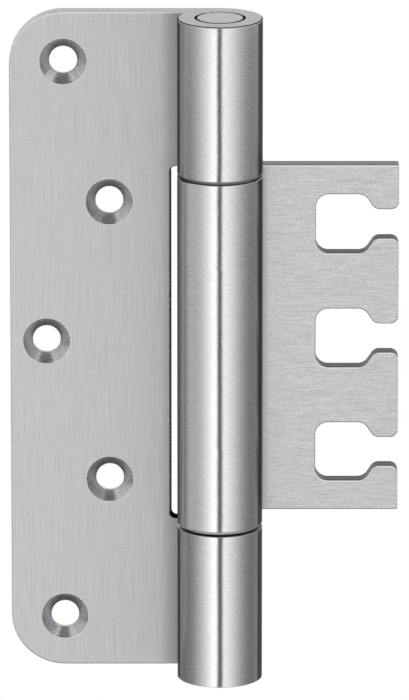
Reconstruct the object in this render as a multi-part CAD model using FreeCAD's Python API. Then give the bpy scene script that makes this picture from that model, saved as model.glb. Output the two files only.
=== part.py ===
import FreeCAD, Part
import math
import os

# Heavy-duty three-knuckle door hinge, opened flat.
# The door leaf carries the two end knuckles, the frame leaf the middle one. Both leaves are
# thick sheet, cut to outline and rolled round the pin. The pin turns in two flanged bushes in the
# middle knuckle and is held in the upper end knuckle by a grub screw from behind.
# Millimetres. +Z runs up the pin, +X towards the frame leaf, -Y towards the viewer of the open
# hinge. The origin is the centre of the pin's lower end.

# Sheet and knuckles
HINGE_HEIGHT = 160.0
SHEET = 4.5
KNUCKLE_R = 10.0
END_KNUCKLE = 37.0
# the upper knuckle rests on its bush, and the play is left below the middle knuckle
UPPER_GAP = 0.85
LOWER_GAP = 1.15
EDGE_BREAK = 0.35

# Pin, bushes and grub screw
PIN_R = 5.98
PIN_CHAMFER = 0.7
DOOR_BORE_R = 6.0
FRAME_BORE_R = 6.2
BUSH_BORE_R = 6.02
BUSH_R = 6.98
BUSH_SEAT_R = 7.0
BUSH_LENGTH = 20.0
BUSH_SEAT_DEPTH = 20.5
BUSH_FLANGE_R = 9.2
BUSH_RUNNING_GAP = 0.06
BUSH_LEAD_IN = 0.4
LOCK_GROOVE_R = 5.5
LOCK_GROOVE_WIDTH = 5.4
GRUB_R = 2.45
GRUB_HOLE_R = 2.5
GRUB_SINK = 0.5
GRUB_CHAMFER = 0.4
GRUB_TIP_GAP = 0.02
GRUB_SOCKET_FLATS = 2.5
GRUB_SOCKET_DEPTH = 1.8

# Door leaf: its reach runs from the pin axis to the outer edge
DOOR_REACH = 49.2
DOOR_CORNER_R = 12.6
DOOR_FOOT_STEP = 1.1
DOOR_SEAM = 0.3
NOTCH_REACH = 11.35
NOTCH_CORNER_R = 1.3
SCREW_HOLE_R = 3.25
COUNTERSINK_R = 5.5
SCREW_PITCH = 33.8
# distance of each screw hole from the outer edge, from the lowest hole up
SCREW_EDGE_DISTANCES = (12.6, 23.3, 8.5, 23.3, 12.6)

# Frame leaf: cranked back behind its knuckle, with hook slots open to the outer edge
FRAME_REACH = 42.0
FRAME_FACE_Y = 9.5
CRANK_TURN = 40.0
CRANK_INNER_R = 4.0
FRAME_ROLL_TURN = 298.8
FRAME_SEAM_TURN = 1.5
FRAME_CORNER_R = 0.5
SLOT_PITCH = 27.8
SLOT_COUNT = 3
SLOT_HEIGHT = 14.35
SLOT_INNER_X = 22.55
SLOT_INNER_R = 3.0
SLOT_SHOULDER_X = 34.0
SLOT_SHOULDER_R = 2.8
MOUTH_HEIGHT = 7.1
MOUTH_START_X = 36.4
MOUTH_START_R = 2.2
HOOK_TIP_R = 1.8

# Heights and depths that follow from the above
UPPER_KNUCKLE_Z = HINGE_HEIGHT - END_KNUCKLE
FRAME_BOTTOM_Z = END_KNUCKLE + LOWER_GAP
FRAME_TOP_Z = UPPER_KNUCKLE_Z - UPPER_GAP
DOOR_FACE_Y = KNUCKLE_R - SHEET
FRAME_BACK_Y = FRAME_FACE_Y + SHEET
DOOR_MIDDLE_Z = (DOOR_FOOT_STEP + HINGE_HEIGHT) / 2
GRUB_Z = HINGE_HEIGHT - END_KNUCKLE / 2
MARGIN = 1.0

Vector = FreeCAD.Vector
ORIGIN = Vector(0, 0, 0)
X_AXIS = Vector(1, 0, 0)
Z_AXIS = Vector(0, 0, 1)


def polar(radius, degrees):
    """Point of a circle round the pin axis, at height 0."""
    angle = math.radians(degrees)
    return Vector(radius * math.cos(angle), radius * math.sin(angle), 0)


def line(start, end):
    return Part.LineSegment(start, end).toShape()


def pin_arc(radius, start, end):
    """Arc round the pin axis from one angle to another, in degrees."""
    middle = polar(radius, (start + end) / 2)
    return Part.Arc(polar(radius, start), middle, polar(radius, end)).toShape()


def face_angle(depth, radius):
    """Angle past the axis at which a sheet face at this depth meets a circle, in degrees."""
    return math.degrees(math.acos(depth / radius))


def rounded_outline(corners):
    """Closed wire in the XZ plane through (x, z, corner radius) points."""
    points = [Vector(x, 0, z) for x, z, _ in corners]
    bends = []
    for i, (_, _, radius) in enumerate(corners):
        here = points[i]
        to_last = (points[i - 1] - here).normalize()
        to_next = (points[(i + 1) % len(points)] - here).normalize()
        half = to_last.getAngle(to_next) / 2
        reach = radius / math.tan(half)
        middle = here + (to_last + to_next).normalize() * (radius / math.sin(half) - radius)
        bends.append((here + to_last * reach, middle, here + to_next * reach))
    edges = []
    for i, bend in enumerate(bends):
        edges.append(line(bends[i - 1][2], bend[0]))
        if corners[i][2]:
            edges.append(Part.Arc(*bend).toShape())
    return Part.Wire(edges)


def prism(outline, near_y, far_y):
    """Solid of an XZ outline between two depths."""
    face = Part.Face(outline)
    face.translate(Vector(0, near_y, 0))
    return face.extrude(Vector(0, far_y - near_y, 0))


def turned(points):
    """Solid turned about the pin axis from (radius, z) points."""
    corners = [Vector(radius, 0, z) for radius, z in points]
    return Part.Face(Part.makePolygon(corners + corners[:1])).revolve(ORIGIN, Z_AXIS, 360)


def laid_along_y(solid, x, y, z):
    """Turns a solid made along +Z to run along +Y from the given point."""
    solid.rotate(ORIGIN, X_AXIS, -90)
    solid.translate(Vector(x, y, z))
    return solid


def break_edges(solid, depths, is_free):
    """Chamfers the outline edges of the flat faces at these depths, where is_free says so.

    An edge that runs on smoothly into a knuckle's round end takes that end with it."""
    edges = []
    for edge in solid.Edges:
        box = edge.BoundBox
        for depth in depths:
            if max(abs(box.YMin - depth), abs(box.YMax - depth)) < 1e-4 and is_free(edge.CenterOfMass):
                edges.append(edge)
    return solid.makeChamfer(EDGE_BREAK, edges)


def door_section():
    """Section of the door leaf: flat sheet, tangent to the back of the roll.

    The roll's end is cut parallel to the sheet's face and stops a hairline short of it."""
    seam_y = DOOR_FACE_Y - DOOR_SEAM
    outer_end = 90 + face_angle(seam_y, KNUCKLE_R) - 360
    inner_end = 90 + face_angle(seam_y, DOOR_BORE_R) - 360
    face_start = 90 + face_angle(DOOR_FACE_Y, DOOR_BORE_R)
    back_corner = Vector(-DOOR_REACH, KNUCKLE_R, 0)
    face_corner = Vector(-DOOR_REACH, DOOR_FACE_Y, 0)
    return Part.Face(Part.Wire([
        line(back_corner, polar(KNUCKLE_R, 90)),
        pin_arc(KNUCKLE_R, 90, outer_end),
        line(polar(KNUCKLE_R, outer_end), polar(DOOR_BORE_R, inner_end)),
        pin_arc(DOOR_BORE_R, inner_end, face_start),
        line(polar(DOOR_BORE_R, face_start), face_corner),
        line(face_corner, back_corner),
    ]))


def screw_hole(x, z):
    """Through hole with a 90 degree countersink in the door leaf's face."""
    cutter = turned([
        (0, -MARGIN),
        (COUNTERSINK_R + MARGIN, -MARGIN),
        (SCREW_HOLE_R, COUNTERSINK_R - SCREW_HOLE_R),
        (SCREW_HOLE_R, SHEET + MARGIN),
        (0, SHEET + MARGIN),
    ])
    return laid_along_y(cutter, x, DOOR_FACE_Y, z)


def make_door_leaf():
    side = KNUCKLE_R + MARGIN
    roll_end_x = -math.sqrt(KNUCKLE_R ** 2 - (DOOR_FACE_Y - DOOR_SEAM) ** 2)
    blank = rounded_outline([
        (-DOOR_REACH, 0, 0),
        (side, 0, 0),
        (side, END_KNUCKLE, 0),
        (-NOTCH_REACH, END_KNUCKLE, NOTCH_CORNER_R),
        (-NOTCH_REACH, UPPER_KNUCKLE_Z, NOTCH_CORNER_R),
        (side, UPPER_KNUCKLE_Z, 0),
        (side, HINGE_HEIGHT, 0),
        (-DOOR_REACH, HINGE_HEIGHT, DOOR_CORNER_R),
    ])
    # the flat leaf stops a little above the lower knuckle's end
    below_leaf = rounded_outline([
        (-DOOR_REACH - MARGIN, -MARGIN, 0),
        (roll_end_x, -MARGIN, 0),
        (roll_end_x, DOOR_FOOT_STEP, 0),
        (-DOOR_REACH, DOOR_FOOT_STEP, DOOR_CORNER_R),
        (-DOOR_REACH, DOOR_FOOT_STEP + DOOR_CORNER_R + MARGIN, 0),
        (-DOOR_REACH - MARGIN, DOOR_FOOT_STEP + DOOR_CORNER_R + MARGIN, 0),
    ])
    leaf = door_section().extrude(Vector(0, 0, HINGE_HEIGHT)).common(prism(blank, -side, side))
    leaf = leaf.cut(prism(below_leaf, DOOR_FACE_Y - DOOR_SEAM / 2, side))
    leaf = break_edges(leaf, (DOOR_FACE_Y,), lambda centre: centre.x < roll_end_x)
    leaf = break_edges(leaf, (KNUCKLE_R,), lambda centre: centre.x < -MARGIN)
    lowest_z = DOOR_MIDDLE_Z - SCREW_PITCH * (len(SCREW_EDGE_DISTANCES) - 1) / 2
    for i, distance in enumerate(SCREW_EDGE_DISTANCES):
        leaf = leaf.cut(screw_hole(distance - DOOR_REACH, lowest_z + i * SCREW_PITCH))
    grub_hole = laid_along_y(Part.makeCylinder(GRUB_HOLE_R, KNUCKLE_R + MARGIN), 0, 0, GRUB_Z)
    return leaf.cut(grub_hole)


def frame_section():
    """Section of the frame leaf: the roll is turned on round the pin, and the sheet leaves it at
    that slope and is bent back parallel to the door leaf, behind the knuckle."""
    slope = math.radians(CRANK_TURN)
    along = Vector(math.cos(slope), math.sin(slope), 0)
    outward = Vector(-math.sin(slope), math.cos(slope), 0)
    tangent_angle = 90 + CRANK_TURN
    outer_end = tangent_angle + FRAME_ROLL_TURN
    face_start = tangent_angle - face_angle(DOOR_FACE_Y, FRAME_BORE_R)
    inner_end = face_start + 360 - FRAME_SEAM_TURN

    def crank_bend(sheet_offset, flat_y, radius):
        """Arc between the sloping and the flat stretch of one face of the sheet."""
        slope_foot = outward * sheet_offset
        corner = slope_foot + along * ((flat_y - slope_foot.y) / along.y)
        reach = radius * math.tan(slope / 2)
        centre = corner + Vector(reach, -radius, 0)
        middle = centre + polar(radius, 90 + CRANK_TURN / 2)
        return corner - along * reach, middle, corner + X_AXIS * reach

    face_bend = crank_bend(DOOR_FACE_Y, FRAME_FACE_Y, CRANK_INNER_R)
    back_bend = crank_bend(KNUCKLE_R, FRAME_BACK_Y, CRANK_INNER_R + SHEET)
    face_corner = Vector(FRAME_REACH, FRAME_FACE_Y, 0)
    back_corner = Vector(FRAME_REACH, FRAME_BACK_Y, 0)
    return Part.Face(Part.Wire([
        line(back_bend[0], polar(KNUCKLE_R, tangent_angle)),
        pin_arc(KNUCKLE_R, tangent_angle, outer_end),
        line(polar(KNUCKLE_R, outer_end), polar(FRAME_BORE_R, inner_end)),
        pin_arc(FRAME_BORE_R, inner_end, face_start),
        line(polar(FRAME_BORE_R, face_start), face_bend[0]),
        Part.Arc(*face_bend).toShape(),
        line(face_bend[2], face_corner),
        line(face_corner, back_corner),
        line(back_corner, back_bend[2]),
        Part.Arc(*reversed(back_bend)).toShape(),
    ]))


def hook_slot(middle_z):
    """Corners of the frame leaf's outer edge round one hook slot, from the top down."""
    upper = [
        (FRAME_REACH, MOUTH_HEIGHT / 2, HOOK_TIP_R),
        (MOUTH_START_X, MOUTH_HEIGHT / 2, MOUTH_START_R),
        (SLOT_SHOULDER_X, SLOT_HEIGHT / 2, SLOT_SHOULDER_R),
        (SLOT_INNER_X, SLOT_HEIGHT / 2, SLOT_INNER_R),
    ]
    lower = [(x, -z, radius) for x, z, radius in reversed(upper)]
    return [(x, middle_z + z, radius) for x, z, radius in upper + lower]


def make_frame_leaf():
    side = KNUCKLE_R + MARGIN
    corners = [(-side, FRAME_TOP_Z, 0), (FRAME_REACH, FRAME_TOP_Z, FRAME_CORNER_R)]
    top_slot_z = (FRAME_TOP_Z + FRAME_BOTTOM_Z + SLOT_PITCH * (SLOT_COUNT - 1)) / 2
    for i in range(SLOT_COUNT):
        corners += hook_slot(top_slot_z - i * SLOT_PITCH)
    corners += [(FRAME_REACH, FRAME_BOTTOM_Z, FRAME_CORNER_R), (-side, FRAME_BOTTOM_Z, 0)]
    blank = rounded_outline(corners)
    leaf = frame_section().extrude(Vector(0, 0, HINGE_HEIGHT))
    leaf = leaf.common(prism(blank, -side, FRAME_BACK_Y + MARGIN))
    leaf = break_edges(leaf, (FRAME_FACE_Y, FRAME_BACK_Y), lambda centre: centre.x > KNUCKLE_R)
    for end_z, inward in ((FRAME_TOP_Z, -1), (FRAME_BOTTOM_Z, 1)):
        seat = Part.makeCylinder(BUSH_SEAT_R, BUSH_SEAT_DEPTH, Vector(0, 0, end_z), Z_AXIS * inward)
        leaf = leaf.cut(seat)
    return leaf


def make_bush(end_z, outward):
    """Flanged plain bush in one end of the middle knuckle, flange on the knuckle's face."""
    flange = UPPER_GAP - BUSH_RUNNING_GAP
    points = [
        (BUSH_BORE_R, -BUSH_LENGTH),
        (BUSH_R - BUSH_LEAD_IN, -BUSH_LENGTH),
        (BUSH_R, -BUSH_LENGTH + BUSH_LEAD_IN),
        (BUSH_R, 0),
        (BUSH_FLANGE_R, 0),
        (BUSH_FLANGE_R, flange),
        (BUSH_BORE_R, flange),
    ]
    return turned([(radius, end_z + outward * z) for radius, z in points])


def make_pin():
    """Plain pin with chamfered ends and a groove for the grub screw's tip."""
    half = LOCK_GROOVE_WIDTH / 2
    return turned([
        (0, 0),
        (PIN_R - PIN_CHAMFER, 0),
        (PIN_R, PIN_CHAMFER),
        (PIN_R, GRUB_Z - half),
        (LOCK_GROOVE_R, GRUB_Z - half),
        (LOCK_GROOVE_R, GRUB_Z + half),
        (PIN_R, GRUB_Z + half),
        (PIN_R, HINGE_HEIGHT - PIN_CHAMFER),
        (PIN_R - PIN_CHAMFER, HINGE_HEIGHT),
        (0, HINGE_HEIGHT),
    ])


def make_grub_screw():
    """Hexagon-socket set screw, tip on the pin's groove, head sunk below the leaf's back."""
    tip_y = LOCK_GROOVE_R + GRUB_TIP_GAP
    length = KNUCKLE_R - GRUB_SINK - tip_y
    body = turned([
        (0, 0),
        (GRUB_R - GRUB_CHAMFER, 0),
        (GRUB_R, GRUB_CHAMFER),
        (GRUB_R, length - GRUB_CHAMFER),
        (GRUB_R - GRUB_CHAMFER, length),
        (0, length),
    ])
    corner_r = GRUB_SOCKET_FLATS / math.sqrt(3)
    hexagon = [polar(corner_r, 60 * i) for i in range(6)]
    socket = Part.Face(Part.makePolygon(hexagon + hexagon[:1])).extrude(Z_AXIS * length)
    socket.translate(Z_AXIS * (length - GRUB_SOCKET_DEPTH))
    return laid_along_y(body.cut(socket), 0, tip_y, GRUB_Z)


os.makedirs("parts", exist_ok=True)
pieces = {
    "door_leaf": make_door_leaf(),
    "frame_leaf": make_frame_leaf(),
    "hinge_pin": make_pin(),
    "upper_bearing_bush": make_bush(FRAME_TOP_Z, 1),
    "lower_bearing_bush": make_bush(FRAME_BOTTOM_Z, -1),
    "pin_grub_screw": make_grub_screw(),
}
for name, shape in pieces.items():
    shape.exportStep(f"parts/{name}.step")
    print(name, shape.ShapeType, len(shape.Solids), shape.isValid(), round(shape.Volume, 1))
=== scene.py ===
import bpy
import numpy as np
from mathutils.geometry import delaunay_2d_cdt
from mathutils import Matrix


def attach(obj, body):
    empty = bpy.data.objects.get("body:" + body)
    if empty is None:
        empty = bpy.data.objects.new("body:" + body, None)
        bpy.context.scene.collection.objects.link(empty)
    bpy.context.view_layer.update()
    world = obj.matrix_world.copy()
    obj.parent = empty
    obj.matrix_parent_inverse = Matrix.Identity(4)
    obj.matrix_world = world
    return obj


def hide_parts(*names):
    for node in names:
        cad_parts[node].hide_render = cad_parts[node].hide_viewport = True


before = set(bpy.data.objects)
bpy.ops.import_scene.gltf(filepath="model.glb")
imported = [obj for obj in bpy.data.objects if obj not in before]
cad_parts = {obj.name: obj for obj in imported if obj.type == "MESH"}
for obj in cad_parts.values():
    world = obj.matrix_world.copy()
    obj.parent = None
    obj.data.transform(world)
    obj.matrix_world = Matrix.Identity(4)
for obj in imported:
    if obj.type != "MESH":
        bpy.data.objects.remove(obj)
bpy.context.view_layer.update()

# Frame leaf: 4.5 mm stainless sheet, cut with three hook slots, cranked back and rolled into the middle
# knuckle. Its flat is brushed lengthwise, the knuckle is linished round the pin, the cut edges are eased.
MM = 0.001
SHEET = 4.5
KNUCKLE_R = 10.0
HINGE_HEIGHT, END_KNUCKLE = 160.0, 37.0
UPPER_GAP, LOWER_GAP = 0.85, 1.15
FRAME_TOP, FRAME_BOTTOM = HINGE_HEIGHT - END_KNUCKLE - UPPER_GAP, END_KNUCKLE + LOWER_GAP
FRAME_REACH = 42.0
FRAME_FACE_Y = 9.5
FRAME_CORNER_R = 0.5
FRAME_BORE_R, BUSH_SEAT_R, BUSH_SEAT_DEPTH = 6.2, 7.0, 20.5
CRANK_TURN = np.radians(40)
CRANK_INNER_R = 4.0
FRAME_ROLL_TURN = np.radians(298.8)
SEAM_TURN = np.radians(1.5)
SLOT_PITCH, SLOT_COUNT = 27.8, 3
SLOT_HEIGHT, SLOT_INNER_X, SLOT_SHOULDER_X = 14.35, 22.55, 34.0
SLOT_INNER_R, SLOT_SHOULDER_R = 3.0, 2.8
MOUTH_HEIGHT, MOUTH_START_X = 7.1, 36.4
MOUTH_START_R, HOOK_TIP_R = 2.2, 1.8
# turn of a step round a cut corner, the share or distance that no longer counts, and a guard for divisors
CORNER_STEP = np.radians(7)
TINY, NO_ZERO = 1e-6, 1e-12


def unit(vectors):
    """Each vector divided by its length."""
    return vectors / np.linalg.norm(vectors, axis=-1, keepdims=True)


def cut_outline(corners, stations=()):
    """Closed outline through (along, height, corner radius) points, anticlockwise round the sheet.

    Each corner is an arc tangent to both runs, in steps of about CORNER_STEP, and each straight run
    also has a point at every station that it crosses, so that it can be bent there."""
    places = np.array(corners, float)
    points, radii = places[:, :2], places[:, 2]
    to_last, to_next = unit(np.roll(points, 1, 0) - points), unit(np.roll(points, -1, 0) - points)
    half = np.arccos(np.clip(np.sum(to_last * to_next, 1), -1, 1)) / 2
    start = points + to_last * (radii / np.tan(half))[:, None]
    end = points + to_next * (radii / np.tan(half))[:, None]
    centre = points + unit(to_last + to_next) * (radii / np.sin(half))[:, None]
    stations = np.asarray(stations, float)
    runs = []
    for i, radius in enumerate(radii):
        spokes = np.stack((start[i], end[i])) - centre[i]
        first, last = np.unwrap(np.arctan2(spokes[:, 1], spokes[:, 0]))
        turns = np.linspace(first, last, 2 + int(abs(last - first) / CORNER_STEP) if radius else 1)
        runs.append(centre[i] + radius * np.stack((np.cos(turns), np.sin(turns)), 1))
        goal = start[(i + 1) % len(points)]
        share = (stations - end[i, 0]) / (goal[0] - end[i, 0] + NO_ZERO)
        share = np.sort(share[(share > TINY) & (share < 1 - TINY)])
        runs.append(end[i] + (goal - end[i]) * share[:, None])
    return np.concatenate(runs)


# inset and depth along the face's chamfer, in shares of its width, and the rows of a back's quarter round
CHAMFER = np.array([(1, 0), (0.86, 0.05), (0.12, 0.42), (0, 0.55)])
ROUND_ROWS = 4
# a rim's strips run from face to back, and this one is its wall
WALL_STRIP = np.arange(len(CHAMFER) + ROUND_ROWS - 1) == len(CHAMFER) - 1


def eased_rim(outline, face_break, back_break, lean=0.0):
    """Edge of the sheet carried along an outline: low chamfer off the face, wall, quarter round to the back.

    Gives (along, depth, height) for each outline point and row. The sheet lies to the outline's left. A wall
    that leans lies further along in the sheet at the face than at the back, by that much."""
    step = np.roll(outline, -1, 0) - outline
    left = unit(np.stack((-step[:, 1], step[:, 0]), 1))
    before = np.roll(left, 1, 0)
    mitre = (left + before) / (1 + np.sum(left * before, 1, keepdims=True))
    swing = np.radians(np.linspace(0, 90, ROUND_ROWS))
    face_break, back_break = face_break[:, None], back_break[:, None]
    inset = np.hstack((face_break * CHAMFER[:, 0], back_break * (1 - np.cos(swing))))
    depth = np.hstack((face_break * CHAMFER[:, 1], SHEET - back_break * (1 - np.sin(swing))))
    along = outline[:, :1] + mitre[:, :1] * (inset + np.reshape(lean, (-1, 1)) * (1 - depth / SHEET))
    return np.stack((along, depth, outline[:, 1:] + mitre[:, 1:] * inset), 2)


def within(points, outline):
    """Even-odd test: a point is inside if a level ray from it crosses the outline an odd number of times."""
    ahead = np.roll(outline, -1, 0)
    x, y = points[:, :1], points[:, 1:]
    spans = (outline[:, 1] > y) != (ahead[:, 1] > y)
    slope = (ahead[:, 0] - outline[:, 0]) / (ahead[:, 1] - outline[:, 1] + NO_ZERO)
    return np.sum(spans & (x < outline[:, 0] + (y - outline[:, 1]) * slope), 1) % 2 == 1


def ring_quads(ids):
    """Quads between neighbouring points of a closed (point, row) grid, facing out of the sheet."""
    ahead = np.roll(ids, -1, 0)
    return np.stack((ids[:, :-1], ids[:, 1:], ahead[:, 1:], ahead[:, :-1]), 2).reshape(-1, 4)


def ring_uv(grid):
    """Running length round and across a closed (point, row) grid, for each corner of ring_quads."""
    closed = np.concatenate((grid, grid[:1]))
    round_steps = np.linalg.norm(np.diff(closed, axis=0), axis=2).mean(1)
    along = np.concatenate(([0], np.cumsum(round_steps)))
    across = np.linalg.norm(np.diff(closed, axis=1), axis=2)
    across = np.hstack((np.zeros((len(closed), 1)), np.cumsum(across, 1)))
    uv = np.stack((np.broadcast_to(along[:, None], across.shape), across), 2)
    return np.stack((uv[:-1, :-1], uv[:-1, 1:], uv[1:, 1:], uv[1:, :-1]), 2).reshape(-1, 2)


# millimetres in one unit of the UV map, and the fold from which an edge shades sharp
UV_UNIT = 100
SHARP_ANGLE = np.radians(40)


def make_piece(name, points, faces, uv, finish, materials):
    """Mesh object at the origin from points in millimetres, with a UV map in units of UV_UNIT millimetres."""
    mesh = bpy.data.meshes.new(name)
    mesh.from_pydata((points * MM).tolist(), [], faces)
    mesh.uv_layers.new(name="surface").data.foreach_set("uv", (uv / UV_UNIT).astype(np.float32).ravel())
    for material in materials:
        mesh.materials.append(material)
    mesh.polygons.foreach_set("material_index", np.asarray(finish, np.int32))
    mesh.shade_smooth()
    mesh.set_sharp_from_angle(angle=SHARP_ANGLE)
    piece = bpy.data.objects.new(name, mesh)
    bpy.context.scene.collection.objects.link(piece)
    even = piece.modifiers.new("even_shading", "WEIGHTED_NORMAL")
    even.keep_sharp = True
    return piece


# finishes that every leaf has
FLAT_FACE, ROLLED, EASED = 0, 1, 2


def make_leaf(name, rims, rim_finishes, grids, bent, is_rolled, materials):
    """Closed mesh of a rolled sheet leaf.

    Face and back are the blank between its rims, triangulated flat, each with a grid of points where it is
    rolled. Then every (along, depth, height) point is bent to its place. A rim has one finish, or one for
    each point and strip."""
    sizes = [rim.shape[0] * rim.shape[1] for rim in rims]
    starts = np.concatenate(([0], np.cumsum(sizes)))
    ids = [start + np.arange(size).reshape(rim.shape[:2]) for start, size, rim in zip(starts, sizes, rims)]
    blank = [rim.reshape(-1, 3) for rim in rims]
    for grid, depth in zip(grids, (0, SHEET)):
        blank.append(np.column_stack((grid[:, 0], np.full(len(grid), depth), grid[:, 1])))
    blank = np.concatenate(blank)
    placed = bent(blank)
    faces, uv, finish = [], [], []
    for rim_ids, rim_finish in zip(ids, rim_finishes):
        faces += ring_quads(rim_ids).tolist()
        uv.append(ring_uv(placed[rim_ids]))
        finish.append(np.broadcast_to(rim_finish, np.subtract(rim_ids.shape, (0, 1))).ravel())
    for row, grid, grid_start in zip((0, -1), grids, (starts[-1], starts[-1] + len(grids[0]))):
        loops = [rim_ids[:, row] for rim_ids in ids]
        used = np.concatenate(loops + [grid_start + np.arange(len(grid))])
        flat = blank[used][:, (0, 2)]
        ends = np.cumsum([len(loop) for loop in loops])
        edges = [np.stack((span, np.roll(span, -1)), 1) for span in np.split(np.arange(ends[-1]), ends[:-1])]
        cut = delaunay_2d_cdt(flat.tolist(), np.concatenate(edges).tolist(), [], 0, TINY, True)
        corners = np.array([sources[0] for sources in cut[3]])[np.array(cut[2])]
        middles = flat[corners].mean(1)
        inside = np.sum([within(middles, blank[loop][:, (0, 2)]) for loop in loops], 0) % 2 == 1
        corners, middles = corners[inside], middles[inside]
        if row:
            corners = corners[:, ::-1]
        faces += used[corners].tolist()
        uv.append(flat[corners].reshape(-1, 2))
        finish.append(np.where(is_rolled(middles[:, 0]), ROLLED, FLAT_FACE))
    return make_piece(name, placed, faces, np.concatenate(uv), np.concatenate(finish), materials)


STEEL, STEEL_STREAK = "#D6D7D9", "#BEBFC1"
NO_TINT = "#FFFFFF"
# longest fleck between the grit lines
FLECK = 0.5
# the noise that turns streaks to full colour, the noise that spans the roughness and its spread to each side,
# and the strength of the bumps
TINT_LOW, TINT_HIGH = 0.38, 0.62
ROUGH_LOW, ROUGH_HIGH, ROUGH_SPREAD = 0.3, 0.7, 0.04
GRIND_BUMP, PIT_BUMP = 0.25, 0.3
# axes of the part, for a band of painted shade or burnish
ACROSS, THROUGH, UP = 0, 1, 2


def linear(hex_colour):
    """sRGB hex colour as the linear RGBA of a shader socket."""
    srgb = np.array([int(hex_colour[i:i + 2], 16) for i in (1, 3, 5)]) / 255
    return (*np.where(srgb <= 0.04045, srgb / 12.92, ((srgb + 0.055) / 1.055) ** 2.4), 1.0)


def add_node(tree, kind, inputs, **settings):
    """Adds a shader node with its settings. Each input is a value or another node's output socket, under the
    socket's name, or its number where a node has several of that name."""
    node = tree.nodes.new(kind)
    for setting, value in settings.items():
        setattr(node, setting, value)
    for socket, value in inputs.items():
        if isinstance(value, bpy.types.NodeSocket):
            tree.links.new(value, node.inputs[socket])
        else:
            node.inputs[socket].default_value = value
    return node


def ground_steel(name, scratch_mm, roughness, colour=STEEL, streak=STEEL_STREAK, anisotropy=0.0,
                 grain_turn=0.0, depth_mm=0.004, fleck_share=0.42, pits=None, shade_and_burnish_bands=(), edge=NO_TINT):
    """Stainless steel with a directional grind: scratch_mm is a scratch's size along x, y and z.

    Real grit lines are some 0.03 mm wide, too fine to show, so they are drawn several times as wide.
    They vary the colour, roughness and height a little, and the highlight spreads across them. Between them
    are flecks as wide but short. Pits, of a size and depth, are dents left under the grind. Each band is
    painted shade or a burnished zone, of another colour: an axis, its middle and half width on that axis, how
    far it fades out, and the colour. The edge colour tints what the steel mirrors at a grazing angle."""
    material = bpy.data.materials.new(name)
    material.use_nodes = True
    tree = material.node_tree
    tree.nodes.clear()
    place = add_node(tree, "ShaderNodeTexCoord", {}).outputs["Object"]
    scale = tuple(1 / (MM * np.array(scratch_mm)))
    fine_place = add_node(tree, "ShaderNodeMapping", {"Vector": place, "Scale": scale}).outputs[0]
    fine = add_node(tree, "ShaderNodeTexNoise", {
        "Vector": fine_place, "Scale": 1.0, "Detail": 3.0, "Roughness": 0.6}).outputs[0]
    fleck_scale = tuple(1 / (MM * np.minimum(scratch_mm, FLECK)))
    fleck_place = add_node(tree, "ShaderNodeMapping", {"Vector": place, "Scale": fleck_scale}).outputs[0]
    flecks = add_node(tree, "ShaderNodeTexNoise", {
        "Vector": fleck_place, "Scale": 1.0, "Detail": 1.0}).outputs[0]
    lines = add_node(tree, "ShaderNodeMix", {0: fleck_share, 2: fine, 3: flecks}).outputs[0]
    tint = add_node(tree, "ShaderNodeMapRange", {
        "Value": lines, "From Min": TINT_LOW, "From Max": TINT_HIGH}).outputs[0]
    base = add_node(tree, "ShaderNodeMix", {
        0: tint, 6: linear(streak), 7: linear(colour)}, data_type="RGBA").outputs[2]
    for axis, middle, reach, fade, band_colour in shade_and_burnish_bands:
        across = add_node(tree, "ShaderNodeSeparateXYZ", {"Vector": place}).outputs[axis]
        aside = add_node(tree, "ShaderNodeMath", {0: across, 1: middle * MM}, operation="SUBTRACT").outputs[0]
        aside = add_node(tree, "ShaderNodeMath", {0: aside}, operation="ABSOLUTE").outputs[0]
        in_band = add_node(tree, "ShaderNodeMapRange", {
            "Value": aside, "From Min": (reach + fade) * MM, "From Max": reach * MM}).outputs[0]
        base = add_node(tree, "ShaderNodeMix", {
            0: in_band, 6: base, 7: linear(band_colour)}, data_type="RGBA").outputs[2]
    rough = add_node(tree, "ShaderNodeMapRange", {
        "Value": lines, "From Min": ROUGH_LOW, "From Max": ROUGH_HIGH,
        "To Min": roughness - ROUGH_SPREAD, "To Max": roughness + ROUGH_SPREAD}).outputs[0]
    bump = add_node(tree, "ShaderNodeBump", {
        "Strength": GRIND_BUMP, "Distance": depth_mm * MM, "Height": lines}).outputs[0]
    if pits:
        pit_mm, pit_depth_mm = pits
        dents = add_node(tree, "ShaderNodeTexNoise", {
            "Vector": place, "Scale": 1 / (pit_mm * MM), "Detail": 2.0}).outputs[0]
        bump = add_node(tree, "ShaderNodeBump", {
            "Strength": PIT_BUMP, "Distance": pit_depth_mm * MM, "Height": dents, "Normal": bump}).outputs[0]
    tangent = add_node(tree, "ShaderNodeTangent", {}, direction_type="UV_MAP", uv_map="surface").outputs[0]
    steel = add_node(tree, "ShaderNodeBsdfPrincipled", {
        "Base Color": base, "Metallic": 1.0, "Roughness": rough, "Normal": bump, "Tangent": tangent,
        "Anisotropic": anisotropy, "Anisotropic Rotation": grain_turn, "Specular Tint": linear(edge)})
    add_node(tree, "ShaderNodeOutputMaterial", {"Surface": steel.outputs[0]})
    return material


# painted shade in three depths: a lighter step and a dark band down the knuckles' sides, where they meet the
# leaves, and a soft band on the flats beside the knuckles
SIDE_SHADE_STEP, SIDE_SHADE, CONTACT_SHADE = "#BABBBD", "#76777A", "#9FA0A2"
KNUCKLE_STREAK = "#C8C9CB"
# painted shade: an edge tint greys what the knuckles mirror at a grazing angle, so their sides stay grey
KNUCKLE_SHADE_TINT = "#9C9C9C"
# painted shade: dark bands down both sides of every knuckle, beside the seam on the left and towards the
# crank on the right, where the knuckle meets a leaf
KNUCKLE_SIDE_SHADES = ((THROUGH, -2.4, 0.85, 0.35, SIDE_SHADE), (ACROSS, KNUCKLE_R, 0.95, 0.4, SIDE_SHADE))
# dents left under the grind: their size and depth
ROLL_PITS = (0.28, 0.055)


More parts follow.
